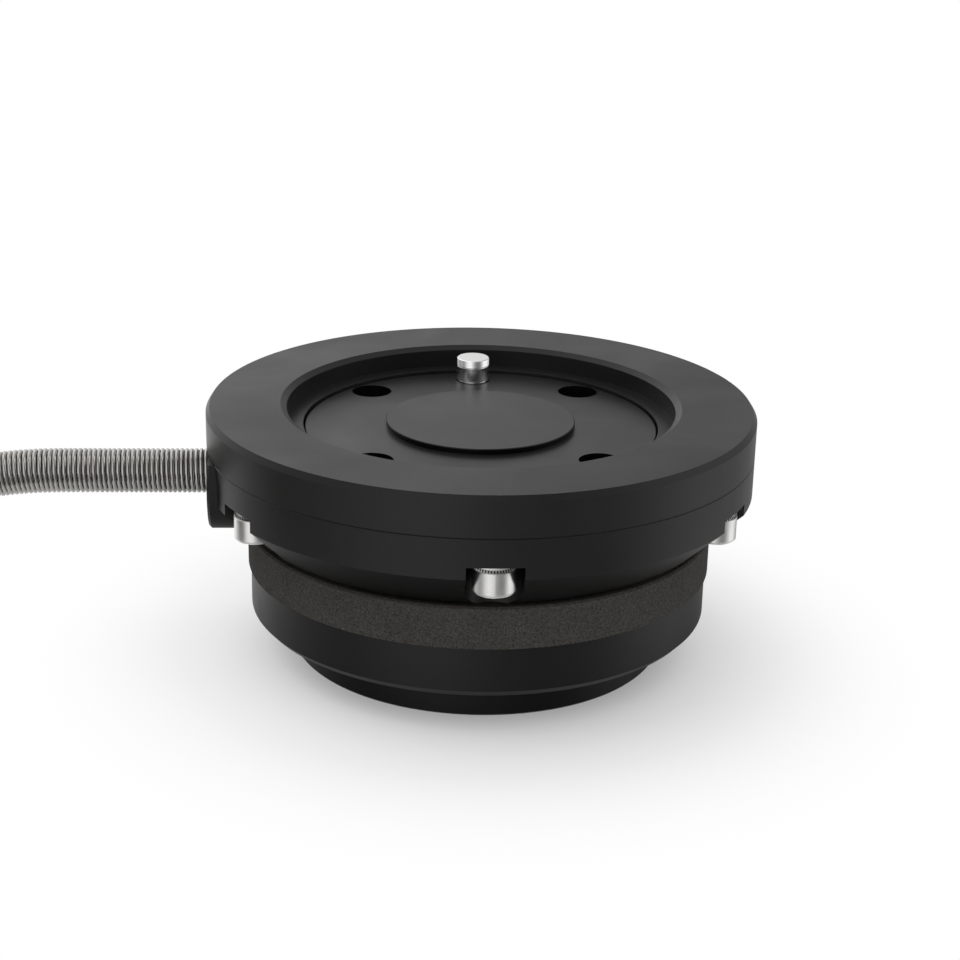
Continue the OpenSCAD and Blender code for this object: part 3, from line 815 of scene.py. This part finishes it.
@dataclass
class ArmouredLead:
    """The lead: a steel wire wound close around a black core, and its stored turns, which run on to
    the plug.

    Each stored turn steps down to the next over its first ramp_end degrees.
    """

    diameter: float = 7.4 * MM
    wire: float = 0.79 * MM
    wire_sides: int = 6
    pitch: float = 0.79 * MM
    pitch_steps: int = 13
    core: float = 6.2 * MM
    core_sides: int = 10
    coil_radius: float = 37 * MM
    coil_center: Span = (-123 * MM, -37 * MM)
    turns: int = 3
    climb: float = 7.6 * MM
    turn_steps: int = 36
    ramp_end: float = 90.0
    smooth_steps: int = 4
    free_run: tuple[Point, ...] = (
        (-0.0386, 0, 0.0294), (-0.044, 0, 0.0294), (-0.050, 0, 0.0294), (-0.056, 0, 0.0294),
        (-0.062, 0, 0.0294), (-0.067, 0, 0.0294), (-0.072, 0, 0.0293), (-0.077, 0, 0.0289),
        (-0.082, 0, 0.0282), (-0.087, 0, 0.0275), (-0.092, 0, 0.0269), (-0.097, 0, 0.0266),
        (-0.102, 0, 0.0265), (-0.107, 0, 0.0265), (-0.115, 0, 0.0265),
    )
    last_run: tuple[Point, ...] = (
        (-0.131, 0, 0.0037), (-0.139, 0, 0.0037), (-0.143, 0, 0.0038), (-0.148, 0, 0.0044),
        (-0.153, 0, 0.0055), (-0.158, 0, 0.0066), (-0.162, 0, 0.0072), (-0.166, 0, 0.0073),
        (-0.171, 0, 0.0073),
    )

    def coil(self) -> list[Point]:
        """The stored turns, laid flat on each other, each stepping down once.

        Returns:
            The points of the turns.
        """
        x0, y0 = self.coil_center
        top = self.diameter / 2 + self.turns * self.climb
        points = []
        for i in range(self.turns * self.turn_steps + 1):
            turn, part = divmod(i, self.turn_steps)
            swing = 360.0 * part / self.turn_steps
            t = min(swing / self.ramp_end, 1.0)
            drop = self.climb * (turn + t * t * (3 - 2 * t))
            a = math.radians(90.0 + swing)
            x, y = x0 + self.coil_radius * math.cos(a), y0 + self.coil_radius * math.sin(a)
            points.append((x, y, top - drop))
        return points

    def path(self) -> list[Vector]:
        """The whole centre line, from the block to the plug's sleeve."""
        return smooth_path([*self.free_run, *self.coil(), *self.last_run], self.smooth_steps)

    def winding_tree(self) -> Tree:
        """Winds the wire round the centre line, and lays the core inside it.

        Returns:
            The Geometry Nodes tree.
        """
        sizes = dict.fromkeys(("Diameter", "Wire", "Pitch", "Core"), "Float")
        counts = dict.fromkeys(("Pitch Steps", "Wire Sides", "Core Sides"), "Int")
        finishes = dict.fromkeys(("Wire Material", "Core Material"), "Material")
        shape = {"Geometry": "Geometry"}
        wire, inputs = new_group(
            "Wound armour", "Geometry", {**shape, **sizes, **counts, **finishes}, shape
        )
        line = wire.get("GeometryNodeMeshToCurve", {0: inputs["Geometry"]})
        step = wire.math("DIVIDE", inputs["Pitch"], inputs["Pitch Steps"])
        fine = wire.get(
            "GeometryNodeResampleCurve", {"Curve": line, "Length": step}, mode="LENGTH"
        )
        turned = wire.get("GeometryNodeSetCurveNormal", {0: fine}, mode="MINIMUM_TWIST")
        along = wire.add("GeometryNodeSplineParameter").outputs["Length"]
        angle = wire.math("MULTIPLY", wire.math("DIVIDE", along, inputs["Pitch"]), math.tau)
        gauge = wire.math("SUBTRACT", inputs["Diameter"], inputs["Wire"])
        outward = wire.get(
            "ShaderNodeVectorRotate",
            {
                "Vector": wire.get("GeometryNodeInputNormal"),
                "Axis": wire.get("GeometryNodeInputTangent"),
                "Angle": angle,
            },
            rotation_type="AXIS_ANGLE",
        )
        offset = wire.vector("MULTIPLY", outward, wire.math("MULTIPLY", gauge, 0.5))
        wound = wire.get("GeometryNodeSetPosition", {0: turned, "Offset": offset})
        both = wire.add("GeometryNodeJoinGeometry")
        for name, run in (("Wire", wound), ("Core", line)):
            section = wire.get(
                "GeometryNodeCurvePrimitiveCircle",
                {
                    "Resolution": inputs[f"{name} Sides"],
                    "Radius": wire.math("MULTIPLY", inputs[name], 0.5),
                },
                mode="RADIUS",
            )
            tube = wire.get(
                "GeometryNodeCurveToMesh",
                {"Curve": run, "Profile Curve": section, "Fill Caps": True},
            )
            dressed = wire.get(
                "GeometryNodeSetMaterial",
                {"Geometry": tube, "Material": inputs[f"{name} Material"]},
            )
            wire.tree.links.new(dressed, both.inputs[0])
        smooth = wire.get("GeometryNodeSetShadeSmooth", {0: both.outputs[0]})
        wire.add("NodeGroupOutput", {0: wire.get("GeometryNodeRealizeInstances", {0: smooth})})
        return wire.tree

    def build(self, wardrobe: Wardrobe) -> None:
        """Args:
            wardrobe: The made materials.
        """
        path = self.path()
        mesh = bpy.data.meshes.new("lead_line")
        mesh.from_pydata(path, [(i, i + 1) for i in range(len(path) - 1)], [])
        values = {
            "Diameter": self.diameter,
            "Wire": self.wire,
            "Pitch": self.pitch,
            "Core": self.core,
            "Pitch Steps": self.pitch_steps,
            "Wire Sides": self.wire_sides,
            "Core Sides": self.core_sides,
            "Wire Material": wardrobe.of(Look.CONDUIT_STEEL),
            "Core Material": wardrobe.of(Look.CORE_BLACK),
        }
        lead = grown("armoured_lead", mesh, self.winding_tree(), values)
        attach(lead, BODY)
        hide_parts("conduit", "conduit_coil", "conduit_tail")
        tie = CoilTie(self).build(wardrobe)


@dataclass
class CoilTie:
    """The strap that holds the stored turns together, at the side away from the plug."""

    lead: ArmouredLead
    width: float = 9 * MM
    thick: float = 0.9 * MM
    slack: float = 0.1 * MM
    foot_share: float = 0.01
    corner_steps: int = 12

    def outline(self, grow: float) -> list[Span]:
        """The strap's loop around the stacked turns, which stays just above what they lie on.

        Args:
            grow: How far it stands off the turns.

        Returns:
            Its [radius, height] points.
        """
        r = self.lead.diameter / 2
        high = r + (self.lead.turns - 1) * self.lead.climb
        points = []
        for center, first in ((high, 0.0), (r, 180.0)):
            for i in range(self.corner_steps + 1):
                a = math.radians(first + 180.0 * i / self.corner_steps)
                z = max(center + math.sin(a) * (r + grow), grow * self.foot_share)
                points.append((math.cos(a) * (r + grow), z))
        return points

    def build(self, wardrobe: Wardrobe) -> Piece:
        """Makes the strap.

        Args:
            wardrobe: The made materials.

        Returns:
            The strap.
        """
        shape = bmesh.new()
        x0, y0 = self.lead.coil_center
        rows = [
            [
                shape.verts.new((x0 - self.lead.coil_radius - r, y0 + side * self.width, z))
                for r, z in self.outline(grow)
            ]
            for side in (-0.5, 0.5)
            for grow in (self.slack, self.thick)
        ]
        count = len(rows[0])
        for a, b in ((0, 1), (1, 3), (3, 2), (2, 0)):
            for i in range(count):
                j = (i + 1) % count
                shape.faces.new((rows[a][i], rows[b][i], rows[b][j], rows[a][j]))
        mesh = closed("coil_tie", shape)
        mesh.materials.append(wardrobe.of(Look.TIE_BLACK))
        tie = placed("coil_tie", mesh)
        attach(tie, BODY)
        return tie


# -------- washers and dowel


@dataclass
class LockWashers:
    """The conical lock washers on the ring's screws, with fine radial ribs round their rims.

    gap_share is how much of the ribs' pitch a gap takes, and flank_share each rib's flank.
    """

    count: int = 6
    first: float = 30.0
    ribs: int = 46
    hole: float = 2.1 * MM
    rim: float = 3.28 * MM
    rib_start: float = 3.02 * MM
    rib_depth: float = 0.32 * MM
    thick: float = 0.36 * MM
    gap_share: float = 0.5
    flank_share: float = 0.02

    def washer(self, rise: float) -> Mesh:
        """One washer, its lower rim at height 0.

        Args:
            rise: How much higher the hole's edge lies than the rim.

        Returns:
            The mesh.
        """
        shape = bmesh.new()
        slope = rise / (self.rim - self.hole)
        low, high = self.thick - self.rib_depth, self.thick
        corners = (
            (0.0, low),
            (self.gap_share, low),
            (self.gap_share + self.flank_share, high),
            (1.0 - self.flank_share, high),
        )
        rings = []
        for rib in range(self.ribs):
            for share, top in corners:
                a = math.tau * (rib + share) / self.ribs
                section = (
                    (self.hole, 0.0), (self.rim, 0.0), (self.rim, top), (self.rib_start, top),
                    (self.rib_start, high), (self.hole, high),
                )
                rings.append(
                    [
                        shape.verts.new(
                            (r * math.cos(a), r * math.sin(a), (self.rim - r) * slope + z)
                        )
                        for r, z in section
                    ]
                )
        for here, after in zip(rings, [*rings[1:], rings[0]]):
            for i in range(len(here)):
                j = (i + 1) % len(here)
                shape.faces.new((here[i], after[i], after[j], here[j]))
        return closed("lock_washer", shape)

    def setting_tree(self) -> Tree:
        """Sets copies of a piece on a circle.

        Returns:
            The Geometry Nodes tree.
        """
        sizes = dict.fromkeys(("Circle", "First", "Height"), "Float")
        shape = {"Geometry": "Geometry"}
        kinds = {**shape, "Count": "Int", **sizes, "Finish": "Material"}
        wire, inputs = new_group("Set on a circle", "Geometry", kinds, shape)
        circle = wire.get(
            "GeometryNodeMeshCircle", {"Vertices": inputs["Count"], "Radius": inputs["Circle"]}
        )
        copies = wire.get(
            "GeometryNodeInstanceOnPoints", {"Points": circle, "Instance": inputs["Geometry"]}
        )
        settled = wire.get(
            "GeometryNodeTransform",
            {
                "Geometry": copies,
                "Translation": wire.get("ShaderNodeCombineXYZ", {2: inputs["Height"]}),
                "Rotation": wire.get("ShaderNodeCombineXYZ", {2: inputs["First"]}),
            },
        )
        real = wire.get("GeometryNodeRealizeInstances", {0: settled})
        made = wire.get(
            "GeometryNodeSetMaterial", {"Geometry": real, "Material": inputs["Finish"]}
        )
        wire.add("NodeGroupOutput", {0: made})
        return wire.tree

    def build(self, wardrobe: Wardrobe) -> None:
        """Makes the washers where the frame has its plain ones.

        Args:
            wardrobe: The made materials.
        """
        low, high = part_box("lock_washers")
        rise = high[2] - low[2] - self.thick
        values = {
            "Count": self.count,
            "Circle": -low[1] - self.rim,
            "First": math.radians(self.first),
            "Height": low[2],
            "Finish": wardrobe.of(Look.WASHER_STEEL),
        }
        made = grown("ribbed_washers", self.washer(rise), self.setting_tree(), values)
        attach(made, BODY)
        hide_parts("lock_washers")
        LOG.info("lock washers, %d triangles", triangles(made))


@dataclass
class Dowel:
    """The dowel on the robot side: a tapered shank with a fine groove under its upper land."""

    radius: float = 2.75 * MM
    segments: int = 72
    sharp: float = 30.0
    height: float = 3.95 * MM
    tip: float = 0.3 * MM
    foot_radius: float = 2.98 * MM
    foot_neck: float = 0.1 * MM
    foot_gap: float = 0.2 * MM
    land_height: float = 1.37 * MM
    groove: float = 0.05 * MM
    lead: float = 0.12 * MM

    def profile(self, end: float, top: float) -> list[Span]:
        """The dowel's half section.

        Args:
            end: Height of its lower end, which sits in the plate.
            top: Height of its top.

        Returns:
            Its [radius, height] corners from the lower end to the top.
        """
        r, g = self.radius, self.groove
        foot = top - self.height
        land = top - self.land_height
        neck = r - self.foot_neck
        return [
            (0.0, end), (r - self.tip, end), (r, end + self.tip), (r, foot), (neck, foot),
            (neck, foot + self.foot_gap), (self.foot_radius, foot + self.foot_gap), (r, land - g),
            (r - g, land), (r, land + g), (r, top - self.lead), (r - self.lead, top), (0.0, top),
        ]

    def build(self, wardrobe: Wardrobe) -> None:
        """Turns the dowel where the frame has its plain one.

        Args:
            wardrobe: The made materials.
        """
        low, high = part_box("flange_dowel")
        place = ((low[0] + high[0]) / 2, (low[1] + high[1]) / 2, 0.0)
        shape = bmesh.new()
        corners = [shape.verts.new((r, 0.0, z)) for r, z in self.profile(low[2], high[2])]
        edges = [shape.edges.new(pair) for pair in zip(corners, corners[1:])]
        bmesh.ops.spin(
            shape,
            geom=[*corners, *edges],
            axis=(0, 0, 1),
            cent=(0, 0, 0),
            angle=math.tau,
            steps=self.segments,
        )
        mesh = closed("turned_dowel", shape)
        mesh.transform(Matrix.Translation(place))
        mesh.shade_smooth()
        mesh.set_sharp_from_angle(angle=math.radians(self.sharp))
        mesh.materials.append(wardrobe.of(Look.DOWEL_STEEL))
        dowel = placed("turned_dowel", mesh)
        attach(dowel, BODY)
        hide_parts("flange_dowel")
        LOG.info("dowel, %d triangles", triangles(dowel))


# -------- light, floor and camera


@dataclass
class Studio:
    """A white sweep under soft boxes, which the glossy surfaces mirror as light and dark bands.

    bands holds [direction, brightness] pairs. The direction is in degrees around the sensor, from
    the front (-Y) towards the right (+X). A mirrored ray that falls more steeply than the steep
    rises meets steep_level instead. Near the sensor the floor goes from one seen_tone to the other
    over seen_reach, it turns plain white over fade_reach around fade_center, and its mirror image
    is shaded down to shade_tone over shade_reach.
    """

    bands: tuple[Span, ...] = (
        (-180, 0.95), (-165, 1.12), (-134, 0.95), (-110, 0.8), (-90, 0.45), (-76, 0.3),
        (-62, 0.46), (-48, 0.8), (-34, 0.98), (-22, 1.03), (-9, 0.82), (4, 0.47), (17, 0.25),
        (30, 0.17), (43, 0.19), (56, 0.38), (71, 0.75), (88, 1.08), (107, 1.0), (132, 0.42),
        (165, 0.6), (180, 0.9),
    )
    diffuse_level: float = 1.0
    steep_level: float = 0.7
    steep: Span = (-0.42, -0.75)
    key_power: float = 4.0
    key_size: float = 0.9
    key_place: Point = (-0.30, 0.12, 0.75)
    floor_radius: float = 4.0
    floor_sides: int = 64
    floor_tone: float = 0.9
    seen_tone: Span = (0.71, 0.575)
    seen_reach: Span = (0.0384, 0.05)
    fade_center: Point = (0.0009, -0.0033, 0.0)
    fade_reach: Span = (0.0039, 0.0778)
    shade_tone: float = 0.33
    shade_reach: Span = (0.032, 0.08)

    def band_tree(self) -> Tree:
        """Turns a direction around the sensor into the brightness of the soft boxes there.

        Returns:
            The shader group.
        """
        wire, inputs = new_group(
            "Soft boxes", "Shader", {"Direction": "Vector"}, {"Brightness": "Float"}
        )
        way = inputs["Direction"]
        front = wire.math("MULTIPLY", wire.part(way, 1), -1.0)
        turn = wire.math("DIVIDE", wire.math("ARCTAN2", wire.part(way, 0), front), math.tau)
        ramp = wire.add("ShaderNodeFloatCurve", {"Value": wire.math("ADD", turn, 0.5)})
        curve = ramp.mapping.curves[0]
        top = max(level for _, level in self.bands)
        spots = [(angle / 360 + 0.5, level / top) for angle, level in self.bands]
        curve.points[0].location = spots[0]
        curve.points[1].location = spots[-1]
        for spot in spots[1:-1]:
            curve.points.new(*spot)
        ramp.mapping.update()
        wire.add("NodeGroupOutput", {0: wire.math("MULTIPLY", ramp.outputs[0], top)})
        return wire.tree

    def world(self) -> None:
        """White where it is seen, the soft boxes where it is mirrored, even where it lights."""
        world = bpy.data.worlds.new("Studio")
        bpy.context.scene.world = world
        wire = Wiring(emptied(world))
        way = wire.add("ShaderNodeTexCoord").outputs["Generated"]
        boxes = wire.get("ShaderNodeGroup", {0: way}, node_tree=self.band_tree())
        steep = wire.ramp(wire.part(way, 2), *self.steep)
        boxed = wire.mix(steep, boxes, grey(self.steep_level))
        seen, mirrored = wire.rays()
        color = wire.mix(seen, wire.mix(mirrored, grey(self.diffuse_level), boxed), grey(1.0))
        light = wire.get("ShaderNodeBackground", {"Color": color})
        wire.add("ShaderNodeOutputWorld", {0: light})

    def key_lamp(self) -> None:
        """One large soft lamp above and to the left, which isn't mirrored."""
        data = bpy.data.lights.new("Key", "AREA")
        data.shape = "DISK"
        data.size = self.key_size
        data.energy = self.key_power
        lamp = bpy.data.objects.new("Key", data)
        place = Vector(self.key_place)
        turn = place.to_track_quat("Z", "Y").to_matrix().to_4x4()
        lamp.matrix_world = Matrix.Translation(place) @ turn
        lamp.visible_glossy = False
        bpy.context.collection.objects.link(lamp)

    def floor_finish(self) -> bpy.types.Material:
        """The floor's material: matt white that takes the shadow and turns plain white far away.

        A mirrored ray goes through it to the soft boxes, darker where the sensor shades it.

        Returns:
            The material.
        """
        made = bpy.data.materials.new("floor_white")
        wire = Wiring(emptied(made))
        spot = wire.spot()
        away = wire.vector("LENGTH", spot)
        fade = wire.ramp(
            wire.vector("DISTANCE", spot, self.fade_center),
            *self.fade_reach,
            interpolation_type="SMOOTHSTEP",
        )
        seen, mirrored = wire.rays()
        tone = wire.ramp(away, *self.seen_reach, *self.seen_tone)
        color = wire.mix(seen, grey(self.floor_tone), tone)
        matt = wire.get("ShaderNodeBsdfDiffuse", {0: color})
        white = wire.get("ShaderNodeEmission", {0: grey(1.0)})
        far = wire.math("MULTIPLY", fade, seen)
        plain = wire.get("ShaderNodeMixShader", {0: far, 1: matt, 2: white})
        shade = wire.ramp(away, *self.shade_reach, self.shade_tone)
        clear = wire.get("ShaderNodeBsdfTransparent", {0: shade})
        both = wire.get("ShaderNodeMixShader", {0: mirrored, 1: plain, 2: clear})
        wire.add("ShaderNodeOutputMaterial", {0: both})
        return made

    def floor(self) -> None:
        """Lays the sweep under the sensor."""
        mesh = bpy.data.meshes.new("floor")
        shape = bmesh.new()
        bmesh.ops.create_circle(
            shape, cap_ends=True, segments=self.floor_sides, radius=self.floor_radius
        )
        shape.to_mesh(mesh)
        shape.free()
        mesh.materials.append(self.floor_finish())
        floor = placed("floor", mesh)

    def build(self) -> None:
        """Sets the world, the lamp and the floor."""
        self.world()
        self.key_lamp()
        self.floor()
        LOG.info("studio is lit")


@dataclass
class Viewpoint:
    """The camera: a short tele lens a little above the sensor, shifted for its framing."""

    place: Point = (-18.382 * MM, -302.113 * MM, 138.390 * MM)
    turn: float = -1.952
    down: float = 20.105
    roll: float = 0.759
    lens: float = 73.248
    sensor: float = 36.0
    shift: float = 0.052
    near: float = 0.01
    side: int = 960

    def build(self) -> None:
        """Sets the camera and the picture's size."""
        data = bpy.data.cameras.new("Camera")
        data.sensor_width = self.sensor
        data.lens = self.lens
        data.shift_x = self.shift
        data.clip_start = self.near
        camera = bpy.data.objects.new("Camera", data)
        bpy.context.collection.objects.link(camera)
        pose = Matrix.Translation(self.place)
        for angle, axis in ((self.turn, "Z"), (90.0 - self.down, "X"), (self.roll, "Z")):
            pose = pose @ Matrix.Rotation(math.radians(angle), 4, axis)
        camera.matrix_world = pose
        scene = bpy.context.scene
        scene.camera = camera
        scene.render.resolution_x = scene.render.resolution_y = self.side
        scene.render.resolution_percentage = 100
        scene.view_settings.view_transform = "Standard"


def main() -> None:
    """Builds the camera, the finishes, the lead, washers and dowel, and the studio, in order."""
    logging.basicConfig(level=logging.INFO, format="%(message)s")
    Viewpoint().build()
    wardrobe = Wardrobe()
    ArmouredLead().build(wardrobe)
    LockWashers().build(wardrobe)
    Dowel().build(wardrobe)
    wardrobe.dress_frame()
    Studio().build()


if __name__ == "__main__":
    main()
